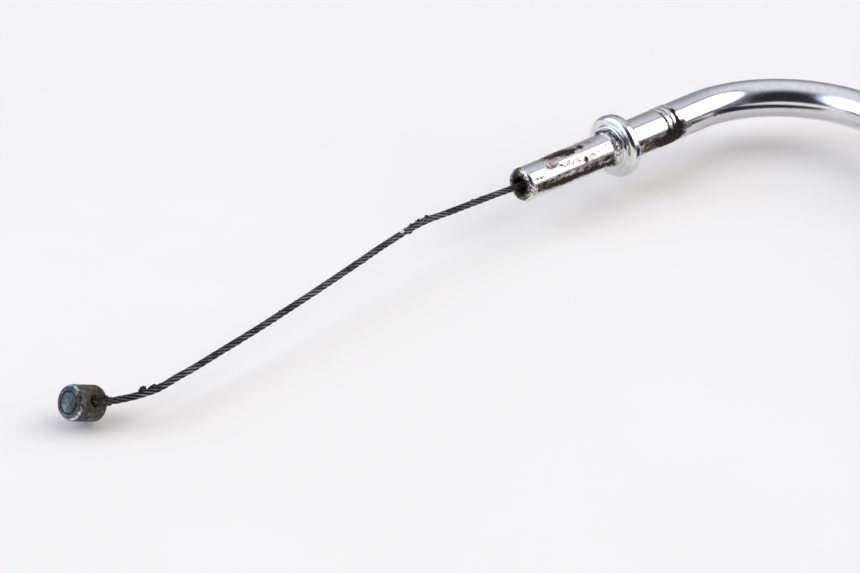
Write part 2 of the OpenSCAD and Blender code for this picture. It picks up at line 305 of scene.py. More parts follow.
class Recipe:
    """A material under construction, with short calls for the nodes it uses."""

    def __init__(self, name, **sockets):
        self.material = bpy.data.materials.new(name)
        self.material.use_nodes = True
        self.tree = self.material.node_tree
        self.shader = self.tree.nodes["Principled BSDF"]
        for key, value in sockets.items():
            self.shader.inputs[key.replace("_", " ")].default_value = value
        self.place = self.node("TexCoord", {}).outputs["Object"]

    def node(self, kind, inputs, **settings):
        return add_node(self.tree, kind, inputs, **settings)

    def set(self, name, value):
        feed(self.tree, value, self.shader.inputs[name])

    def stretched(self, scale):
        return self.node("Mapping", {"Scale": scale, "Vector": self.place}).outputs["Vector"]

    def noise(self, scale, detail=4.0, rough=0.6, place=None):
        settings = {"Scale": scale, "Detail": detail, "Roughness": rough}
        node = self.node("TexNoise", {**settings, "Vector": place or self.place})
        return node.outputs["Fac"]

    def attribute(self, name):
        return self.node("Attribute", {}, attribute_name=name).outputs["Fac"]

    def math(self, operation, a, b):
        return self.node("Math", {0: a, 1: b}, operation=operation).outputs[0]

    def ramp(self, value, stops):
        """stops are (position, colour or grey)."""
        node = self.node("ValToRGB", {"Fac": value})
        while len(node.color_ramp.elements) < len(stops):
            node.color_ramp.elements.new(0.5)
        for element, (at, colour) in zip(node.color_ramp.elements, stops):
            element.position = at
            grey = not hasattr(colour, "__len__")
            element.color = (colour, colour, colour, 1) if grey else (*colour, 1)
        return node.outputs["Color"]

    def mask(self, value, low, high):
        """0 up to low, 1 from high on, and a slope between."""
        return self.ramp(value, [(low, 0.0), (high, 1.0)])

    def ragged(self, level, cloud, amount, low, high, middle=0.5):
        """A mask of the level, with its edge broken up by a cloud of noise."""
        uneven = self.math("MULTIPLY", self.math("SUBTRACT", cloud, middle), amount)
        return self.mask(self.math("ADD", level, uneven), low, high)

    def mix(self, share, a, b):
        inputs = {0: share, 6: opaque(a), 7: opaque(b)}
        return self.node("Mix", inputs, data_type="RGBA").outputs[2]

    def between(self, share, a, b):
        """A number between a and b."""
        return self.node("MapRange", {"Value": share, "To Min": a, "To Max": b}).outputs["Result"]

    def bump(self, height, depth, strength=1.0):
        """Bumps the surface by that depth in metres."""
        node = self.node("Bump", {"Strength": strength, "Distance": depth, "Height": height})
        self.set("Normal", node.outputs["Normal"])


def paint(piece, recipe):
    """Gives every face of the piece one material."""
    if piece.data.materials:
        for k in range(len(piece.material_slots)):
            piece.material_slots[k].material = recipe.material
    else:
        piece.data.materials.append(recipe.material)


# ---- materials ----


def chrome_grime_and_shade():
    """Chrome under a brown layer and black crusts, which follow a mesh attribute holding the dirt and
    also painted shade in the ring grooves.
    """
    m = Recipe("chrome_grime_and_shade", Specular_IOR_Level=0.15)
    grime_and_shade = m.attribute("grime_and_shade")
    fine = m.noise(3000, 5, 0.75)
    flakes = m.noise(1500, 4, 0.7, m.stretched((0.7, 1.4, 1.4)))
    tone = m.noise(750, 5, 0.7)
    film_and_shade = m.ragged(grime_and_shade, fine, 1.5, 0.24, 0.44)
    crust_and_shade = m.ragged(grime_and_shade, flakes, 1.7, 0.56, 0.68)
    clean = m.mix(m.mask(tone, 0.42, 0.7), (0.84, 0.84, 0.86), (0.77, 0.77, 0.77))
    brown = m.ramp(tone, [
        (0.36, (0.045, 0.034, 0.028)), (0.47, (0.13, 0.10, 0.08)), (0.56, (0.33, 0.28, 0.23)),
        (0.66, (0.66, 0.60, 0.50)),
    ])
    black = m.ramp(fine, [
        (0.42, (0.008, 0.007, 0.007)), (0.56, (0.022, 0.018, 0.015)), (0.68, (0.09, 0.07, 0.05)),
    ])
    m.set("Base Color", m.mix(crust_and_shade, m.mix(film_and_shade, clean, brown), black))
    m.set("Metallic", m.between(crust_and_shade, m.between(film_and_shade, 1.0, 0.85), 0.1))
    m.set("Roughness", m.between(crust_and_shade, m.between(film_and_shade, 0.16, 0.34), 0.6))
    grain = m.math("MULTIPLY", film_and_shade, m.math("MULTIPLY", fine, 0.5))
    height = m.math("ADD", grain, m.math("MULTIPLY", crust_and_shade, 0.6))
    m.bump(height, 0.00005, 0.7)
    return m


def clean_chrome():
    m = Recipe("clean_chrome", Metallic=1.0)
    fine = m.noise(1800, 5, 0.6)
    haze = m.mask(m.noise(420, 5, 0.65), 0.4, 0.75)
    spots = m.mask(m.noise(1500, 4, 0.7), 0.66, 0.74)
    plate = m.mix(haze, (0.80, 0.81, 0.81), (0.62, 0.63, 0.60))
    m.set("Base Color", m.mix(spots, plate, (0.10, 0.08, 0.06)))
    m.set("Roughness", m.between(m.math("MAXIMUM", haze, spots), 0.10, 0.30))
    m.bump(fine, 0.00001, 0.35)
    return m


def steel_grease_and_shade():
    """Steel strands, near-black in the hollows from grease and painted shade, and bright on the crowns.
    """
    m = Recipe("steel_grease_and_shade", Specular_IOR_Level=0.3)
    depth = m.attribute("depth")
    patch = m.noise(330, 4, 0.65)
    fine = m.noise(4200, 3, 0.6)
    # Painted shade: the hollows, low in depth, get the near-black colour along with their grease.
    bright = m.ragged(depth, patch, 1.1, 0.62, 1.0, 0.55)
    colour = m.mix(bright, (0.008, 0.008, 0.009), (0.32, 0.32, 0.33))
    rust = m.mask(m.noise(240, 5, 0.7), 0.62, 0.74)
    m.set("Base Color", m.mix(m.math("MULTIPLY", rust, 0.55), colour, (0.10, 0.06, 0.035)))
    m.set("Metallic", m.between(bright, 0.2, 1.0))
    m.set("Roughness", m.between(fine, 0.25, 0.5))
    return m


def crust():
    """Dry black and brown dirt."""
    m = Recipe("crust", Specular_IOR_Level=0.25)
    blotch = m.noise(1500, 5, 0.7)
    m.set("Base Color", m.ramp(blotch, [
        (0.38, (0.006, 0.006, 0.006)), (0.54, (0.022, 0.019, 0.015)), (0.68, (0.09, 0.075, 0.05)),
    ]))
    m.set("Roughness", m.between(blotch, 0.45, 0.85))
    m.bump(m.noise(5200, 4, 0.7), 0.00005)
    return m


def pale_speck():
    m = Recipe("pale_speck")
    shades = [(0.4, (0.62, 0.60, 0.56)), (0.6, (0.85, 0.84, 0.80))]
    m.set("Base Color", m.ramp(m.noise(2500, 3), shades))
    m.set("Roughness", m.between(m.noise(1200, 2), 0.6, 0.9))
    return m


def mottled_zinc():
    """Old cast zinc: blue-grey and pitted, with bright edges, where a mesh attribute is high, that are
    partly rubbed metal and partly a painted highlight, and dark dirt round the wire with painted shade in
    each face's groove.
    """
    m = Recipe("mottled_zinc", Specular_IOR_Level=0.3)
    broad = m.noise(520, 5, 0.68)
    pits = m.noise(2100, 5, 0.72)
    stain_and_groove_shade = m.attribute("stain_and_groove_shade")
    wear_and_highlight = m.attribute("wear_and_highlight")
    body = m.ramp(broad, [
        (0.32, (0.020, 0.023, 0.026)), (0.45, (0.06, 0.068, 0.078)), (0.57, (0.125, 0.138, 0.155)),
        (0.70, (0.27, 0.29, 0.32)),
    ])
    dark = m.ramp(pits, [(0.33, 1.0), (0.45, 0.0)])
    body = m.mix(m.math("MULTIPLY", dark, 0.8), body, (0.055, 0.06, 0.062))
    # Bright rim: partly rubbed metal, partly a painted highlight.
    rim_wear_and_highlight = m.ragged(wear_and_highlight, pits, 0.9, 0.4, 0.75)
    body = m.mix(rim_wear_and_highlight, body, (0.80, 0.82, 0.83))
    # Dark dirt round the wire, and painted shade in each face's groove.
    stain_and_shade_mask = m.ragged(stain_and_groove_shade, pits, 0.8, 0.38, 0.62)
    dirt = m.ramp(m.noise(1100, 4, 0.7), [
        (0.38, (0.010, 0.010, 0.009)), (0.52, (0.045, 0.042, 0.024)), (0.66, (0.13, 0.09, 0.05)),
    ])
    m.set("Base Color", m.mix(stain_and_shade_mask, body, dirt))
    m.set("Metallic", m.between(stain_and_shade_mask, 0.82, 0.1))
    m.set("Roughness", m.between(rim_wear_and_highlight, 0.46, 0.22))
    m.bump(pits, 0.00008, 0.7)
    return m


def plated_zinc(name, tint):
    """Bright zinc plate with a faint bloom and dark spots."""
    m = Recipe(name, Metallic=1.0)
    bloom = m.mask(m.noise(260, 5, 0.65), 0.38, 0.7)
    spots = m.mask(m.noise(1600, 4, 0.7), 0.64, 0.72)
    pale = tuple(0.74 * t for t in tint)
    dull = tuple(0.50 * t for t in tint)
    plate = m.mix(bloom, pale, dull)
    m.set("Base Color", m.mix(m.math("MULTIPLY", spots, 0.7), plate, (0.10, 0.085, 0.07)))
    m.set("Roughness", m.between(bloom, 0.2, 0.42))
    m.bump(m.noise(3200, 4, 0.7), 0.00002, 0.6)
    return m


def drawn_steel():
    m = Recipe("drawn_steel", Metallic=1.0)
    streak = m.noise(900, 4, 0.6, m.stretched((8, 0.6, 8)))
    m.set("Base Color", m.ramp(streak, [(0.35, (0.42, 0.43, 0.44)), (0.65, (0.66, 0.67, 0.68))]))
    m.set("Roughness", m.between(streak, 0.24, 0.4))
    m.bump(m.noise(2600, 3, 0.6), 0.00002, 0.5)
    return m


def dusty_rubber(name):
    """Moulded black rubber with pale dusty patches."""
    m = Recipe(name, Specular_IOR_Level=0.35)
    dust = m.mask(m.noise(150, 6, 0.7), 0.48, 0.78)
    grain = m.noise(5200, 3, 0.6)
    m.set("Base Color", m.mix(dust, (0.022, 0.022, 0.023), (0.085, 0.080, 0.072)))
    m.set("Roughness", m.between(dust, 0.52, 0.82))
    m.bump(grain, 0.00003, 0.7)
    return m


def casing_vinyl():
    """Satin black vinyl with faint scuffs."""
    m = Recipe("casing_vinyl", Specular_IOR_Level=0.45)
    scuff = m.mask(m.noise(190, 6, 0.72), 0.56, 0.8)
    grain = m.noise(3600, 3, 0.6)
    m.set("Base Color", m.mix(scuff, (0.020, 0.020, 0.021), (0.070, 0.068, 0.066)))
    m.set("Roughness", m.between(scuff, 0.34, 0.62))
    m.bump(grain, 0.00002, 0.6)
    return m


def natural_nylon():
    m = Recipe("natural_nylon", Subsurface_Weight=0.15)
    cloud = m.noise(220, 4, 0.6)
    m.set("Base Color", m.ramp(cloud, [(0.35, (0.70, 0.68, 0.62)), (0.65, (0.82, 0.81, 0.77))]))
    m.set("Roughness", m.between(cloud, 0.32, 0.5))
    m.bump(m.noise(2400, 3), 0.00003, 0.5)
    return m


def liner_plastic():
    m = Recipe("liner_plastic")
    cloud = m.noise(400, 3, 0.6)
    m.set("Base Color", m.ramp(cloud, [(0.3, (0.55, 0.54, 0.50)), (0.7, (0.78, 0.77, 0.73))]))
    m.set("Roughness", m.between(cloud, 0.35, 0.55))
    return m


# ---- cords: the two bare wires and the casing ----


def rope(name, path, lay=8.4, wire_lay=2.2, swell=0.0):
    """Six strands round the path, each an outline of six wires that twists the other way.

    swell is how far the strands open at the free wire's kink."""
    wire_at, wire_r = 0.133, 0.067
    outline = []
    # Two points on each wire, and one in the groove that follows it
    for lobe in range(6):
        for off in (-17, 17, 30):
            a = math.radians(off)
            root = max(wire_r ** 2 - (wire_at * math.sin(a)) ** 2, 0)
            outline.append((math.radians(60 * lobe) + a, wire_at * math.cos(a) + math.sqrt(root)))
    frames = path_frames(path)
    travelled = [0.0]
    for a, b in zip(path, path[1:]):
        travelled.append(travelled[-1] + (b - a).length)
    verts, faces, depth = [], [], []
    slope = 2 * math.pi * STRAND_AT / lay
    for strand in range(6):
        rings = []
        for p, (t, n, b), s in zip(path, frames, travelled):
            around = math.pi * strand / 3 + 2 * math.pi * s / lay
            out = math.cos(around) * n + math.sin(around) * b
            strand_at = STRAND_AT * (1 + swell * math.exp(-(((p.x - KINK_X) / 1.8) ** 2)))
            across = (t + slope * (math.cos(around) * b - math.sin(around) * n)).normalized().cross(out)
            centre = p + strand_at * out
            ring = []
            for angle, r in outline:
                turn = angle - 2 * math.pi * s / wire_lay
                point = centre + r * (math.cos(turn) * out + math.sin(turn) * across)
                ring.append(point)
                # depth runs from the hollows to the crowns; the strands' material paints the hollows dark
                # with grease and painted shade.
                depth.append(smoothstep(0.40, 0.61, (point - p).length - strand_at + STRAND_AT))
            rings.append(ring)
        add_rings(verts, faces, rings)
    piece = finish_mesh(name, verts, faces, 60)
    point_attribute(piece, "depth", depth)
    return piece


def coil_points():
    """The coil, clockwise from where the casing comes in.

    It starts with part of a turn on top, then goes round below on the inside and on the outside."""
    points = []
    for turned in range(0, 811, 6):
        if turned <= 150:
            r = COIL_R
            z = COIL_TOP_Z + 0.8 * smoothstep(85, 115, turned) * (1 - smoothstep(130, 152, turned))
        elif turned <= 210:
            roll = math.radians(turned - 30)
            r = COIL_R + CASING_R + 2 * CASING_R * math.cos(roll)
            z = COIL_Z + 2 * CASING_R * math.sin(roll)
        else:
            r = COIL_R - CASING_R + 2 * CASING_R * smoothstep(450, 510, turned)
            z = COIL_Z
        a = -math.radians(turned)
        points.append(COIL_CENTRE + Vector((r * math.cos(a), r * math.sin(a), z)))
    return points


def route_mm(route):
    return [Vector(p) / MM for p in route]


make_camera()
grip_path = smooth_path(route_mm(GRIP_ROUTE), 0.22)
grip_rope = rope("grip_wire_strands", grip_path, swell=0.16)
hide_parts("grip_wire")
carb_path = smooth_path(route_mm(CARB_WIRE_ROUTE), 0.22)
carb_rope = rope("carb_wire_strands", carb_path)
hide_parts("carb_wire")
casing_path = smooth_path(route_mm(RUN_ROUTE) + coil_points() + route_mm(TAIL_ROUTE), 2.0)
casing = tube("casing_cover", casing_path, CASING_R, 28)
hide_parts("casing_run", "casing_coil", "casing_tail")


# ---- guide pipe and collar ----

# Where dirt sits on the pipe, and painted shade on its ring grooves: distance from the collar's front
# face, angle from the top towards the bend's inside, half the patch's length and angle, and how strong it
# is.
# The patches at 12, 13 and 14.5 with half lengths of 0.3 and 0.4 lie on the ring grooves and are painted
# shade.
DIRT_AND_SHADE = [
    (-20, 95, 2.5, 15, 0.55), (-16, 100, 3, 15, 0.75), (-12, 105, 3, 15, 0.70), (-8, 105, 2.5, 15, 0.65),
    (-4.5, 110, 2.5, 15, 0.55), (-19.5, 80, 3, 5, 0.35), (-13, 75, 5, 5, 0.35), (-6, 85, 4, 5, 0.35),
    (-20.5, 55, 2, 10, 0.35), (-17, 40, 1.5, 10, 0.40), (-13, 50, 3, 10, 0.30), (-6, 55, 4, 15, 0.25),
    (-15, 0, 3, 20, 0.60), (-11.5, 10, 2, 15, 0.50), (-13, -20, 2, 10, 0.45), (-4, -30, 6, 10, 0.40),
    (-1, 15, 1, 50, 0.50), (-3.5, 85, 1, 10, 0.50), (-9, 60, 0.4, 8, 0.75), (-8.5, 10, 0.4, 8, 0.70),
    (-11, 20, 0.4, 8, 0.60), (-22.5, 190, 0.6, 55, 0.40), (-22.5, -25, 0.6, 35, 0.40),
    (-2.5, 120, 0.7, 20, 0.60), (13, 100, 2, 25, 1.50), (12, 110, 2, 25, 1.10), (-7, 5, 5, 20, 0.20),
    (14.5, 75, 0.8, 15, 1.00), (14.5, 45, 0.4, 30, 0.80), (15, 25, 0.5, 10, 0.55),
    (16, 70, 0.8, 15, 0.40), (17, 90, 0.5, 5, 0.70), (15.5, 105, 1.2, 8, 0.45), (13, 15, 0.3, 20, 0.35),
    (12, 30, 0.3, 25, 0.40), (9.5, 110, 2, 15, 0.75), (8.5, 90, 1, 10, 0.60), (6.5, 90, 1.2, 10, 0.65),
    (6.5, 115, 1.5, 15, 0.55), (4, 105, 1.5, 15, 0.60), (2, 120, 1, 15, 0.50), (24.5, 90, 0.7, 5, 0.55),
    (21, 125, 5, 10, 0.35),
]


def pipe_dirt_and_shade(s, angle, point):
    """The pipe's dirt level at a place along it and round it, from 0 to 1, with painted shade in the ring
    grooves counted in.
    """
    degrees = math.degrees(angle)
    # A patch at the bottom reaches up both sides, so the count starts over above it
    if degrees > 216:
        degrees -= 360
    level = 0.0 if s > -1 else 0.10
    for at, turn, half_s, half_turn, weight in DIRT_AND_SHADE:
        away = ((s - at) / half_s) ** 2 + ((degrees - turn) / half_turn) ** 2
        level += weight * math.exp(-0.9 * away)
    level += 0.34 * (1 - smoothstep(MOUTH + 0.03, MOUTH + 0.25, s))
    # Painted shade: each marking ring's groove is darkened all round.
    for k in (-1, 0, 1):
        level += 0.30 * math.exp(-(((s - RING_POS - k * RING_GAP) / 0.16) ** 2))
    streaks = noise.fractal(Vector((point.x * 0.45, point.y * 1.3, point.z * 1.3)), 0.8, 2.1, 4)
    specks = noise.fractal(point * 2.1 + Vector((7, 3, 1)), 0.7, 2.2, 4)
    rough = min(1, 0.35 + 2 * level)
    return min(max(level + rough * (0.14 * streaks + 0.14 * specks), 0), 1)


def pipe_radius(s):
    """The pipe's outer radius behind the collar, with its marking rings."""
    r = PIPE_R
    for k in (-1, 0, 1):
        off = abs(s - RING_POS - k * RING_GAP)
        if off < 0.28:
            r -= 0.17 * (math.cos(math.pi * off / 0.56)) ** 0.7
    return r


def pipe_stations():
    """(distance, radius) along the outside from the mouth to the outlet, then back along the bore."""
    lip = arc(MOUTH + 0.9, TIP_R - 0.9, 0.9, -90, 0, 8)
    tip = refine([lip[-1], (-2.1, TIP_R), (-1.75, PIPE_R - 0.12), (-1.5, PIPE_R), (0.5, PIPE_R)], 0.25)
    first, last, step = 11, 15.5, 0.12
    ringed = [(s * step, pipe_radius(s * step)) for s in range(round(first / step), round(last / step))]
    straight = refine([(0.5, PIPE_R), (first - 0.1, PIPE_R)], 0.4)
    after = refine([(last + 0.2, PIPE_R), (STRAIGHT + math.pi / 2 * BEND_R + OUTLET, PIPE_R)], 0.8)
    inner = [(after[-1][0], BORE_R), (20, BORE_R), (0, BORE_R), (MOUTH + 3, BORE_R)]
    inner += arc(MOUTH + 0.25, BORE_R + 0.25, 0.25, -180, -90, 5)
    bore = []
    for (za, ra), (zb, rb) in zip(inner, inner[1:]):
        bore += refine([(za, ra), (zb, rb)], 1.0)[:-1]
    return lip + tip[1:] + straight[1:] + ringed + after, bore + [inner[-1]]


def pipe_place(s):
    """The pipe's centre, and the way to the bend's inside, at a distance along it."""
    bend = math.pi / 2 * BEND_R
    if s <= STRAIGHT:
        return Vector((s, 0, 0)), Vector((0, -1, 0))
    if s <= STRAIGHT + bend:
        a = (s - STRAIGHT) / BEND_R
        centre = Vector((STRAIGHT + BEND_R * math.sin(a), -BEND_R * (1 - math.cos(a)), 0))
        return centre, Vector((-math.sin(a), -math.cos(a), 0))
    return Vector((BEND_X, -BEND_R - (s - STRAIGHT - bend), 0)), Vector((-1, 0, 0))


def make_pipe():
    """The pipe's shell, with lumps where the dirt is thick outside, and one even dark level all through
    the bore.
    """
    sides = 120
    # The bore is set to one dark level along its whole length.
    bore_level = 0.9
    outside, bore = pipe_stations()
    rings, grime_and_shade = [], []
    for index, (s, r) in enumerate(outside + bore):
        centre, side = pipe_place(s)
        ring = []
        for k in range(sides):
            a = 2 * math.pi * k / sides
            out = math.cos(a) * Vector((0, 0, 1)) + math.sin(a) * side
            level, lump = bore_level, 0.0
            if index < len(outside):
                point = centre + r * out
                level = pipe_dirt_and_shade(s, a, point)
                lump = 0.045 * smoothstep(0.45, 0.8, level) * (0.6 + noise.noise(point * 3.1))
            ring.append(centre + (r + lump) * out)
            grime_and_shade.append(level)
        rings.append(ring)
    piece = skin("guide_pipe_shell", rings, loop=True)
    point_attribute(piece, "grime_and_shade", grime_and_shade)
    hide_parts("guide_pipe")
    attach(piece, "guide")
    return piece


def make_collar():
    """The flange with its rounded edges, and a thin hub in front of it."""
    hub_r, hub_t, edge = 4.2, 0.6, 0.9
    outline = [(-hub_t, PIPE_R), *arc(-hub_t + 0.25, hub_r - 0.25, 0.25, -90, 0, 5)]
    outline += arc(-0.12, hub_r + 0.12, 0.12, 180, 90, 3)
    outline += arc(edge, COLLAR_R - edge, edge, -90, 0, 10)
    outline += arc(COLLAR_T - edge, COLLAR_R - edge, edge, 0, 90, 10)
    outline += [(COLLAR_T, PIPE_R + 0.15), (COLLAR_T - 0.15, PIPE_R)]
    piece = revolve("collar_flange", outline, ALONG_PIPE, 144, loop=True, sharp=50)
    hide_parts("pipe_collar")
    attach(piece, "guide")
    return piece


# ---- nipples and the dirt on the wire ----


def make_nipple(name, node, body, place, radius, length, edge):
    """A cast barrel with soft edges, a groove round each face and a hollow where the wire goes in."""
    sides = 96
    half = length / 2
    groove_at = radius * 0.61
    face = [
        (-half + 0.02, 0.1), (-half, radius * 0.35), (-half, radius * 0.56), (-half + 0.22, groove_at),
        (-half, radius * 0.66),
    ]
    near = arc(-half + edge, radius - edge, edge, -90, 0, 9)
    outline = refine(face + near, 0.16)
    outline = refine(outline + [(-z, r) for z, r in reversed(outline)], 0.16)

    def from_wire(z, r, a):
        """How far a place is from where the wire goes in. The far side counts as out of reach."""
        return math.hypot(z, r * math.sin(a)) if math.cos(a) > 0 else 9

    def cast(z, r, a):
        point = Vector((r * math.cos(a), r * math.sin(a), z))
        rough = 0.035 * noise.fractal(point * 1.6 + Vector((3, 1, 8)), 0.8, 2.0, 4)
        hollow = 0.8 * (1 - smoothstep(0.62, 1.05, from_wire(z, r, a))) if r > radius * 0.9 else 0
        return max(r * (1 + rough / radius) - hollow, 0.05)

    piece = revolve(name, outline, place, sides, shape=cast, sharp=70)
    stain_and_groove_shade, wear_and_highlight = [], []
    for z, r in outline:
        # Painted shade darkens each face's groove; the rim is brightened, partly as rubbed metal and
        # partly as a painted highlight.
        groove = 0.8 * math.exp(-(((r - groove_at) / 0.16) ** 2))
        rim = math.exp(-(((abs(z) - half + edge * 0.4) / 0.4) ** 2))
        rim *= smoothstep(radius * 0.7, radius * 0.9, r)
        for k in range(sides):
            a = 2 * math.pi * k / sides
            cloud = noise.fractal(Vector((r * math.cos(a), r * math.sin(a), z)) * 0.9, 0.8, 2.0, 4)
            stain_and_groove_shade.append(min(max(1.55 - from_wire(z, r, a) / 2.6 + 0.6 * cloud, groove, 0), 1))
            wear_and_highlight.append(min(max(0.62 * rim + 0.25 * cloud, 0), 1))
    point_attribute(piece, "stain_and_groove_shade", stain_and_groove_shade)
    point_attribute(piece, "wear_and_highlight", wear_and_highlight)
    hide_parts(node)
    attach(piece, body)
    return piece


def blob_mesh(verts, faces, centre, size, seed):
    """Adds one rough lump of dirt: a ball of rings pushed in and out by noise."""
    rings = 9
    sides = 14
    base = len(verts)
    for i in range(rings + 1):
        polar = math.pi * i / rings
        for k in range(sides):
            a = 2 * math.pi * k / sides
            d = Vector((math.sin(polar) * math.cos(a), math.sin(polar) * math.sin(a), math.cos(polar)))
            swell = 1 + 0.8 * noise.fractal(d * 1.7 + Vector((seed, seed * 0.7, 0)), 0.9, 2.0, 3)
            verts.append(centre + Vector((d.x * size.x, d.y * size.y, d.z * size.z)) * swell)
    for i in range(rings):
        for k in range(sides):
            a, b = base + i * sides, base + (i + 1) * sides
            faces.append((a + k, a + (k + 1) % sides, b + (k + 1) % sides, b + k))
    faces.append(tuple(base + k for k in range(sides - 1, -1, -1)))
    faces.append(tuple(base + rings * sides + k for k in range(sides)))


def at_x(path, x):
    """The path's point nearest to that x."""
    return min(path, key=lambda p: abs(p.x - x))


def make_wire_dirt():
    """Lumps and crumbs of dried grease on the free wire."""
    verts, faces = [], []
    # Each lump's place along the wire, how far up or down it hangs, and its half sizes
    lumps = [
        (-110.6, 0.85, 0.95, 0.36), (-112.6, 1.0, 0.75, 0.5), (-109.2, 0.4, 0.4, 0.35),
        (-47.6, 0.6, 0.5, 0.34), (-43.9, 0.8, 0.35, 0.3), (-45.7, 0.75, 0.35, 0.26),
        (-48.0, -1.1, 0.35, 0.3), (-118.6, 0.35, 0.8, 0.75), (-118.3, -0.4, 0.75, 0.6),
        (-117.9, 0.3, 0.65, 0.6), (-117.3, -0.1, 0.55, 0.6), (-116.2, 0.5, 0.35, 0.3),
        (-115.2, 0.1, 0.5, 0.45),
    ]
    for index, (x, up, long, thick) in enumerate(lumps):
        blob_mesh(verts, faces, at_x(grip_path, x) + Vector((0, 0.1, up * 0.6)),
                  Vector((long, thick, thick)), 3.1 * index + 1)
    crumbs = 46
    for index in range(crumbs):
        along = grip_path[int((0.22 + 0.76 * (index / crumbs)) * (len(grip_path) - 1))]
        roll = noise.noise(Vector((index * 3.7, 1.5, 0.2))) * 6.3
        offset = Vector((0, math.cos(roll), math.sin(roll))) * 0.52
        size = 0.09 + 0.12 * abs(noise.noise(Vector((index * 1.9, 0.4, 4))))
        blob_mesh(verts, faces, along + offset, Vector((size * 1.5, size, size)), index * 1.3)
    piece = finish_mesh("wire_dirt", verts, faces, 80)
    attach(piece, "grip_end")
    return piece


def make_whiskers():
    """Three broken wire ends that stand up from the free wire's kink."""
    verts, faces = [], []
    kink = at_x(grip_path, -46.5)
    for lean, rise, reach in ((-0.5, 0.9, 1.5), (0.2, 1.0, 1.1), (0.7, 0.75, 1.3)):
        tip = kink + Vector((lean, 0.3 * lean, rise)) * reach
        middle = kink.lerp(tip, 0.55) + Vector((0.15, 0, 0.12))
        curve = smooth_path([kink, middle, tip], 0.2)
        rings = []
        for j, (p, (t, n, b)) in enumerate(zip(curve, path_frames(curve))):
            r = 0.07 * (1 - 0.6 * j / (len(curve) - 1))
            angles = [k * math.pi / 3 for k in range(6)]
            rings.append([p + r * (math.cos(a) * n + math.sin(a) * b) for a in angles])
        add_rings(verts, faces, rings)
    piece = finish_mesh("wire_whiskers", verts, faces, 60)
    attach(piece, "grip_end")
    return piece


def make_speck():
    """A pale speck on the free wire beside its kink."""
    verts, faces = [], []
    centre = at_x(grip_path, -50.3) + Vector((0, -0.2, 0.55))
    blob_mesh(verts, faces, centre, Vector((0.4, 0.3, 0.2)), 5.5)
    piece = finish_mesh("wire_speck", verts, faces, 80)
    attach(piece, "grip_end")
    return piece


# ---- turned parts ----


def threaded(radius, pitch, start, end):
    """A radius function with a left-hand helical thread between two stations."""
    depth = 0.54 * pitch

    def shape(z, r, a):
        if r < radius - 0.02 or not start <= z <= end:
            return r
        phase = (z / pitch + a / (2 * math.pi)) % 1
        wave = abs(2 * phase - 1)
        cut = depth * smoothstep(0.06, 0.94, 1 - wave)
        lead = smoothstep(start, start + pitch, z) * (1 - smoothstep(end - pitch, end, z))
        return r - cut * lead

    return shape


def hexagon(flats, top, bottom):
    """A radius function for a nut: six flats, with its corners turned off at both ends."""
    chamfer = 0.5
    corner = flats / 2 / math.cos(math.pi / 6)

    def shape(z, r, a):
        if r < flats / 2 - 0.6:
            return r
        flat = flats / 2 / math.cos((a + math.pi / 6) % (math.pi / 3) - math.pi / 6)
        edge = min(z - bottom, top - z)
        cone = corner - max(0, chamfer - edge) * 1.7
        return min(flat, cone, r if r < flats / 2 else corner)

    return shape


def nut_outline(start, thick, flats, bore):
    """The closed outline of a nut, with a countersunk bore."""
    end = start + thick
    corner = flats / 2 / math.cos(math.pi / 6)
    edge = [start + 0.02, start + 0.12, start + 0.25, start + 0.4, start + 0.55, start + 1]
    side = edge + [end - (z - start) for z in reversed(edge)]
    face = [bore + 0.35, flats / 2 - 0.7, flats / 2 - 0.35]
    outline = [(start + 0.35, bore)] + [(start, r) for r in face]
    outline += [(z, corner) for z in side]
    outline += [(end, r) for r in reversed(face)] + [(end - 0.35, bore)]
    return outline


def make_nut(name, node, body, place, start, thick, flats, bore, turn):
    """A nut a hair thinner than its place, so that it stays clear of its washer as it turns."""
    clear = 0.03
    spin = place @ Matrix.Rotation(math.radians(turn), 4, "Z")
    low, high = start + clear, start + thick - clear
    piece = revolve(name, nut_outline(low, high - low, flats, bore), spin, 96, True,
                    hexagon(flats, high, low), 25)
    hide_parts(node)
    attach(piece, body)
    return piece


def make_washer(name, node, body, place, start, thick, outer, inner):
    edge = 0.22
    end = start + thick
    outline = arc(start + edge, outer - edge, edge, -90, 0, 4)
    outline += arc(end - edge, outer - edge, edge, 0, 90, 4)
    outline += [(end, inner + 0.12), (end - 0.12, inner), (start + 0.12, inner), (start, inner + 0.12)]
    piece = revolve(name, outline, place, 96, loop=True)
    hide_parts(node)
    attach(piece, body)
    return piece


def make_stud():
    """The threaded stud fixed on the pipe's outlet, with its round head."""
    r, start, end, head = 4.0, 24, 54, 5.2
    outline = arc(16.3, head - 0.3, 0.3, -90, 0, 4) + arc(23.6, head - 0.4, 0.4, 0, 90, 4)
    outline += refine([(start, r + 0.02), (end - 0.5, r)], 0.11)
    outline += [(end, r - 0.45), (end, BORE_R)]
    outline += [(OUTLET + 0.02, BORE_R), (OUTLET, PIPE_R), (16, PIPE_R)]
    piece = revolve("adjuster_stud_body", outline, ALONG_ADJUSTER, 84, True,
                    threaded(r, 1.25, start + 0.6, end - 0.4), 45)
    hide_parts("adjuster_stud")
    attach(piece, "guide")
    return piece


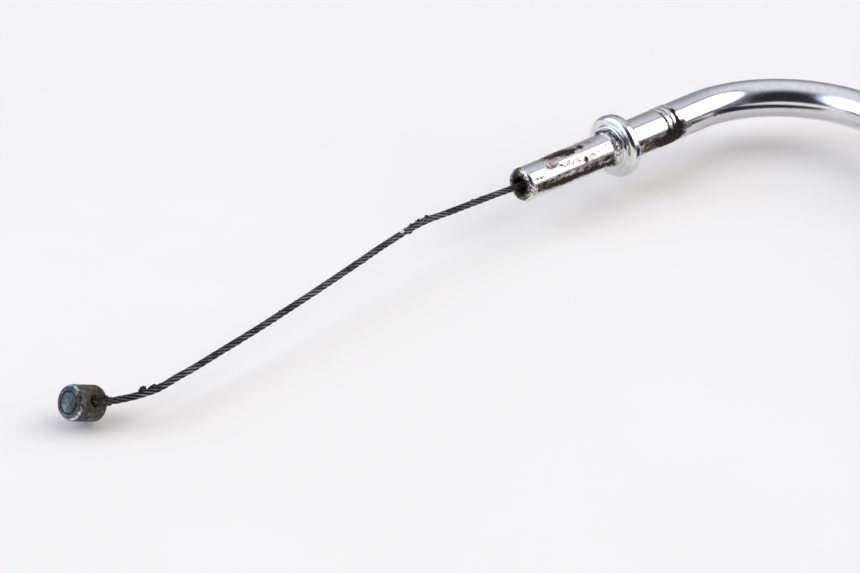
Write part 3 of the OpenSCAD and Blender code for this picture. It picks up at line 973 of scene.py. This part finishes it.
def make_barrel():
    """A hexagon to hold a spanner, a knurled grip, and the casing cap's seat inside."""
    start, hex_end, end, flats, grip = 44.2, 52.0, 70.0, 13.0, 6.0
    corner = flats / 2 / math.cos(math.pi / 6)
    hex_shape = hexagon(flats, hex_end, start)

    def shape(z, r, a):
        if z <= hex_end and r > grip + 0.1:
            return hex_shape(z, r, a)
        if hex_end + 1 < z < end - 0.9 and r > grip - 0.05:
            one = abs(((a * 36 / (2 * math.pi) + (z - hex_end) / 1.15) % 1) * 2 - 1)
            two = abs(((a * 36 / (2 * math.pi) - (z - hex_end) / 1.15) % 1) * 2 - 1)
            groove = min(smoothstep(0.0, 0.45, one), smoothstep(0.0, 0.45, two))
            return r - 0.26 * (1 - groove)
        return r

    edge = [start + 0.02, start + 0.15, start + 0.3, start + 0.5, start + 1]
    sides = edge + [hex_end - (z - start) for z in reversed(edge)]
    outline = [(start + 0.4, 4.04), (start, 4.45), (start, flats / 2 - 0.6)]
    outline += [(z, corner) for z in sides]
    outline += [(hex_end, grip + 0.2), (hex_end + 0.05, grip - 0.25), (hex_end + 0.8, grip - 0.25)]
    outline += refine([(hex_end + 1.0, grip), (end - 0.9, grip)], 0.16)
    outline += arc(end - 0.5, grip - 0.5, 0.5, 0, 90, 4)
    outline += [(end, 4.8), (end - 0.3, 4.55), (60, 4.55), (60, 4.04)]
    piece = revolve("adjuster_barrel_body", outline, ALONG_ADJUSTER, 216, True, shape, 30)
    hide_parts("adjuster_barrel")
    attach(piece, "barrel")
    return piece


def make_casing_cap():
    """The steel cap on the casing's end, with a crimped groove near its mouth."""
    r = 4.5
    outline = [(61.3, BORE_R), (61, BORE_R + 0.3)] + arc(61.3, r - 0.3, 0.3, -90, 0, 4)
    outline += [(71.5, r), (71.8, r - 0.22), (72.4, r - 0.3), (73.0, r - 0.22), (73.3, r)]
    outline += arc(75.4, r - 0.6, 0.6, 0, 90, 6)
    outline += [(76, CASING_R + 0.3), (75.7, CASING_R + 0.05), (64, CASING_R + 0.05), (64, BORE_R)]
    piece = revolve("casing_cap_body", outline, ALONG_ADJUSTER, 96, loop=True)
    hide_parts("casing_cap")
    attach(piece, "cap_slider")
    return piece


def make_boot():
    """The rubber boot: soft beads round a thin wall, a cone, and a ribbed neck on the casing."""
    start, long = 33.0, 51.0
    r, wall, inner, neck = 9.0, 8.6, 7.76, 3.3
    outline = [(0.5, inner), (0.0, inner + 0.35)]
    outline += arc(0.6, r - 0.6, 0.6, -90, 0, 5) + arc(2.2, r - 0.6, 0.6, 0, 70, 5)
    outline += [(3.2, wall + 0.02), (3.8, wall)]
    swell = [(0.35, r - 0.02), (0.8, r - 0.14), (1.3, wall + 0.06), (1.9, wall)]
    for bead in (14.2, 26.2, 37.2):
        outline += [(bead - z, radius) for z, radius in reversed(swell)]
        if bead < 37:
            outline += [(bead + z, radius) for z, radius in swell]
    outline += [(37.5, r - 0.03), (38.2, r - 0.14), (38.9, r - 0.45), (39.6, r - 0.95)]
    outline += [(41.5, 7.1), (43.4, 5.9), (44.4, 5.2), (44.9, 4.85)]
    for rib in (46, 48, 50):
        outline += [(rib - 0.8, neck + 1.42), (rib - 0.4, neck + 1.75), (rib, neck + 2.1)]
        outline += [(rib + 0.4, neck + 1.75), (rib + 0.75, neck + 1.42)]
    outline += [(long, neck + 1.2), (long, neck + 0.25), (long - 0.25, neck), (long - 6.5, neck)]
    outline += [(long - 7.5, 5.0), (long - 13, inner)]
    outline = [(start + z, radius) for z, radius in outline]
    piece = revolve("adjuster_boot_cover", outline, ALONG_ADJUSTER, 96, loop=True, sharp=60)
    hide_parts("adjuster_boot")
    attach(piece, "boot")
    return piece


def make_carb_cap():
    """The steel cap on the casing's far end, with two crimped grooves."""
    r, start, end = 4.1, 20.0, 34.0
    outline = [(start + 0.2, CASING_R + 0.05), (start, CASING_R + 0.25)]
    outline += arc(start + 0.5, r - 0.5, 0.5, -90, 0, 5)
    for groove in (start + 4, start + 9):
        outline += [(groove - 0.8, r)]
        outline += [(groove + 0.7 * t, r - 0.34 * (1 - t * t)) for t in (-0.8, -0.5, -0.2, 0.2, 0.5, 0.8)]
        outline += [(groove + 0.8, r)]
    outline += [(end - 0.2, r), (end, r - 0.2), (end, 2.4), (end - 0.02, CASING_R + 0.05)]
    piece = revolve("carb_cap_body", outline, ALONG_CARB, 96, loop=True)
    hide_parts("carb_cap")
    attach(piece, "guide")
    return piece


def make_ferrule():
    """The ferrule at the carburettor end: a flange, a long thread and a slimmer tip."""
    r, flange, thread_start, thread_end, end = 3.0, 5.0, 36.0, 58.0, 69.0
    outline = [(34, 0.9)]
    outline += arc(34.3, flange - 0.3, 0.3, -90, 0, 4) + arc(35.7, flange - 0.3, 0.3, 0, 90, 4)
    outline += refine([(thread_start, r + 0.01), (thread_end, r)], 0.09)
    outline += [(65.6, r), (66, r - 0.4), (66, 2.2), (end - 0.3, 2.2), (end, 1.9), (end, 0.9)]
    piece = revolve("carb_ferrule_body", outline, ALONG_CARB, 72, True,
                    threaded(r, 1.0, thread_start + 0.4, thread_end), 45)
    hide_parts("carb_ferrule")
    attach(piece, "guide")
    return piece


def make_seal():
    """A rubber seal with soft lips, pushed over the ferrule's tip."""
    outline = [(66.0, 2.25), (66.0, 2.6), (66.2, 2.8), (68.7, 2.8), (69.1, 2.62), (69.6, 2.32)]
    outline += [(70.0, 2.44), (70.4, 2.7), (70.8, 2.5), (71.2, 2.12), (71.6, 2.2), (72.0, 2.4)]
    outline += [(72.4, 2.2), (73, 1.8)]
    outline += [(73.6, 1.6), (74, 1.4), (74, 0.95), (69.05, 0.9), (69.02, 2.2)]
    piece = revolve("carb_seal_body", outline, ALONG_CARB, 72, loop=True, sharp=60)
    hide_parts("carb_seal")
    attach(piece, "guide")
    return piece


# ---- cable ties ----


def hull(points):
    """The convex hull of flat points, anticlockwise."""
    points = sorted(set((round(x, 5), round(y, 5)) for x, y in points))
    out = []
    for run in (points, list(reversed(points))):
        half = []
        for p in run:
            while len(half) > 1:
                (ax, ay), (bx, by) = half[-2], half[-1]
                if (bx - ax) * (p[1] - ay) - (by - ay) * (p[0] - ax) > 1e-9:
                    break
                half.pop()
            half.append(p)
        out += half[:-1]
    return out


def tie_band(place, top):
    """Rings of a band pulled tight round the turns, with a ridge at every other one."""
    spots = [(-CASING_R, COIL_Z), (CASING_R, COIL_Z)] + ([(0, COIL_TOP_Z)] if top else [])
    band_in, thick, width = 3.08, 0.82, 3.6
    circles = [
        (COIL_R + x + band_in * math.cos(k * math.pi / 24), z + band_in * math.sin(k * math.pi / 24))
        for x, z in spots for k in range(48)
    ]
    inner = hull(circles)
    rings = []
    for k, (x, z) in enumerate(inner):
        ax, az = inner[k - 1]
        bx, bz = inner[(k + 1) % len(inner)]
        size = math.hypot(bx - ax, bz - az)
        nx, nz = (bz - az) / size, -(bx - ax) / size
        ridge = thick - (0.10 if k % 2 else 0.0)
        section = [
            (-width / 2 + 0.3, 0), (width / 2 - 0.3, 0), (width / 2, 0.2), (width / 2, 0.6),
            (width / 2 - 0.35, 0.8), (width / 2 - 0.7, ridge), (-width / 2 + 0.7, ridge),
            (-width / 2 + 0.35, 0.8), (-width / 2, 0.6), (-width / 2, 0.2),
        ]
        rings.append([place @ Vector((x + nx * o, w, z + nz * o)) for w, o in section])
    return rings


def tie_head(place, head_x):
    """Rings of the square head, from its underside up."""
    sections = [
        (-2.3, 0.0, 1.5), (-2.3, 0.25, 1.75), (-1.6, 0.3, 1.8),
        (1.6, 0.3, 1.8), (2.3, 0.25, 1.75), (2.3, 0.0, 1.5),
    ]
    rings = []
    for dz, grow, half in sections:
        deep = 1.1 + grow
        ring = []
        for k in range(24):
            a = 2 * math.pi * k / 24
            c, s = math.cos(a), math.sin(a)
            square = (abs(c) ** 6 + abs(s) ** 6) ** (-1 / 6)
            ring.append(place @ Vector((head_x + deep * c * square, half * s * square, COIL_Z + dz)))
        rings.append(ring)
    return rings


def tie_tail(place, head_x):
    """Rings of the cut tail that leans out above the head."""
    tail = [(head_x - 0.3, COIL_Z + 1.8), (head_x - 0.2, COIL_Z + 3.0), (head_x + 0.15, COIL_Z + 4.2)]
    section = ((-1.2, 0), (1.2, 0), (1.2, 0.7), (-1.2, 0.7))
    return [[place @ Vector((x + o, w, z)) for w, o in section] for x, z in tail]


def make_tie(index, angle, top):
    """A nylon tie round the coil at that angle. top says that it also holds the turn on top."""
    place = Matrix.Translation(COIL_CENTRE) @ Matrix.Rotation(math.radians(angle), 4, "Z")
    head_x = COIL_R + 2 * CASING_R + 1.95
    verts, faces = [], []
    add_rings(verts, faces, tie_band(place, top), loop=True)
    add_rings(verts, faces, tie_head(place, head_x))
    add_rings(verts, faces, tie_tail(place, head_x))
    node = f"coil_tie_{index}"
    piece = finish_mesh(f"{node}_nylon", verts, faces, 40)
    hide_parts(node)
    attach(piece, "guide")
    return piece


# ---- floor and light ----


def flat_sheet(name, outline, height, recipe):
    """A flat sheet of one matt material, from an outline and a height in millimetres."""
    mesh = bpy.data.meshes.new(name)
    mesh.from_pydata([Vector((x, y, height)) * MM for x, y in outline], [], [tuple(range(len(outline)))])
    mesh.materials.append(recipe.material)
    sheet = bpy.data.objects.new(name, mesh)
    bpy.context.collection.objects.link(sheet)
    return sheet


def make_floor():
    size = 2500
    m = Recipe("pale_table", Specular_IOR_Level=0.0, Roughness=1.0)
    shades = [(0.35, (0.82, 0.79, 0.745)), (0.65, (0.84, 0.81, 0.765))]
    m.set("Base Color", m.ramp(m.noise(14, 4, 0.55), shades))
    corners = [(-size, -size), (size, -size), (size, size), (-size, size)]
    floor = flat_sheet("floor", corners, FLOOR_Z - 0.05, m)


def dark_flag(name, outline):
    """A dark studio flag lying on the table, which only shows in reflections."""
    m = Recipe(f"{name}_cloth", Specular_IOR_Level=0.0, Roughness=1.0)
    shades = [(0.3, (0.012, 0.013, 0.015)), (0.7, (0.03, 0.03, 0.035))]
    m.set("Base Color", m.ramp(m.noise(30, 2), shades))
    flag = flat_sheet(name, outline, FLOOR_Z + 0.05, m)
    flag.visible_camera = False
    flag.visible_shadow = False
    flag.visible_diffuse = False


def fill_light(name, direction, power, colour):
    """A large soft light that lifts the shadows and stays out of the reflections."""
    distance, size = 1.6, 1.5
    light = bpy.data.lights.new(name, "AREA")
    light.size = size
    light.energy = power
    light.color = colour
    lamp = bpy.data.objects.new(name, light)
    bpy.context.collection.objects.link(lamp)
    away = Vector(direction).normalized()
    lamp.location = away * distance
    lamp.rotation_euler = away.to_track_quat("Z", "Y").to_euler()
    lamp.visible_glossy = False


def soft_patch(tree, before, toward, inner, outer, colour):
    """Blends a round patch into the sky, full within the inner angle and gone past the outer one."""
    sky_way = add_node(tree, "TexCoord", {}).outputs["Generated"]
    ways = {0: sky_way, 1: Vector(toward).normalized()}
    facing = add_node(tree, "VectorMath", ways, operation="DOT_PRODUCT")
    edge = add_node(tree, "MapRange", {
        "Value": facing.outputs["Value"],
        "From Min": math.cos(math.radians(outer)),
        "From Max": math.cos(math.radians(inner)),
    }, interpolation_type="SMOOTHSTEP")
    inputs = {0: edge.outputs["Result"], 6: opaque(before), 7: opaque(colour)}
    return add_node(tree, "Mix", inputs, data_type="RGBA").outputs[2]


def make_light():
    world = bpy.data.worlds.new("studio")
    world.use_nodes = True
    tree = world.node_tree
    sky = (0.33, 0.33, 0.37)
    sky = soft_patch(tree, sky, (0.1, 0.1, 1), 10, 60, (0.82, 0.82, 0.88))
    sky = soft_patch(tree, sky, (-0.66, -0.66, 0.36), 28, 64, (0.02, 0.02, 0.025))
    main_light = (0.604, -0.587, 0.538)
    sky = soft_patch(tree, sky, main_light, 30, 37, (0.10, 0.10, 0.12))
    sky = soft_patch(tree, sky, main_light, 26, 31, (2.3, 2.3, 2.35))
    sky = soft_patch(tree, sky, (-0.78, 0.42, 0.46), 20, 38, (1.6, 1.9, 2.4))
    background = tree.nodes["Background"]
    tree.links.new(sky, background.inputs["Color"])
    bpy.context.scene.world = world
    dark_flag("near_flag", [(6, -17), (38, -17), (135, -150), (100, -150)])
    fill_light("left_fill", (-0.9, 0.5, 0.75), 7.5, (1.0, 0.985, 0.96))
    fill_light("right_fill", (0.8, -0.2, 0.75), 3.4, (1.0, 0.97, 0.94))
    fill_light("front_fill", (-0.3, -0.9, 0.8), 4.6, (1.0, 0.97, 0.94))
    bpy.context.scene.view_settings.view_transform = "Standard"


# ---- putting it together ----

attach(grip_rope, "grip_end")
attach(carb_rope, "carb_end")
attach(casing, "guide")
strands = steel_grease_and_shade()
paint(grip_rope, strands)
paint(carb_rope, strands)
paint(casing, casing_vinyl())

paint(make_pipe(), chrome_grime_and_shade())
paint(make_collar(), clean_chrome())
paint(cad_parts["pipe_liner"], liner_plastic())

zinc_cast = mottled_zinc()
grip_nipple = make_nipple("grip_nipple_cast", "grip_nipple", "grip_end", GRIP_NIPPLE_FRAME,
                          radius=2.9, length=6.1, edge=0.85)
carb_nipple = make_nipple("carb_nipple_cast", "carb_nipple", "carb_end", CARB_NIPPLE_FRAME,
                          radius=2.5, length=5.0, edge=0.5)
paint(grip_nipple, zinc_cast)
paint(carb_nipple, zinc_cast)
dirt = make_wire_dirt()
whiskers = make_whiskers()
speck = make_speck()
crust_look = crust()
paint(dirt, crust_look)
paint(whiskers, crust_look)
paint(speck, pale_speck())

plate = plated_zinc("zinc_plate", (0.97, 1.0, 1.03))
nut_plate = plated_zinc("nut_plate", (1.0, 0.99, 0.94))
rubber = dusty_rubber("boot_rubber")
steel = drawn_steel()
nylon = natural_nylon()

paint(make_stud(), plate)
paint(make_barrel(), plate)
lock_nut = make_nut("lock_nut_body", "lock_nut", "nut", ALONG_ADJUSTER,
                    start=38, thick=5, flats=13, bore=4.04, turn=0)
paint(lock_nut, nut_plate)
lock_washer = make_washer("lock_washer_body", "lock_washer", "cap_slider", ALONG_ADJUSTER,
                          start=43, thick=1.2, outer=6.4, inner=4.1)
paint(lock_washer, nut_plate)
paint(make_casing_cap(), steel)
paint(make_boot(), rubber)

carb_cap = make_carb_cap()
ferrule = make_ferrule()
rear_nut = make_nut("rear_nut_body", "rear_nut", "rear_clamp_nut", ALONG_CARB,
                    start=40, thick=5, flats=10, bore=3.04, turn=30)
rear_washer = make_washer("rear_washer_body", "rear_washer", "rear_clamp", ALONG_CARB,
                          start=45, thick=1.2, outer=5.5, inner=3.1)
front_washer = make_washer("front_washer_body", "front_washer", "front_clamp", ALONG_CARB,
                           start=49.2, thick=1.2, outer=5.5, inner=3.1)
front_nut = make_nut("front_nut_body", "front_nut", "front_clamp_nut", ALONG_CARB,
                     start=50.4, thick=5, flats=10, bore=3.04, turn=30)
seal = make_seal()
paint(carb_cap, steel)
paint(ferrule, plate)
paint(seal, rubber)
for piece in (rear_nut, rear_washer, front_washer, front_nut):
    paint(piece, nut_plate)
ties = [make_tie(1, -60, True), make_tie(2, 65, False), make_tie(3, 140, False)]
for tie in ties:
    paint(tie, nylon)

make_floor()
make_light()
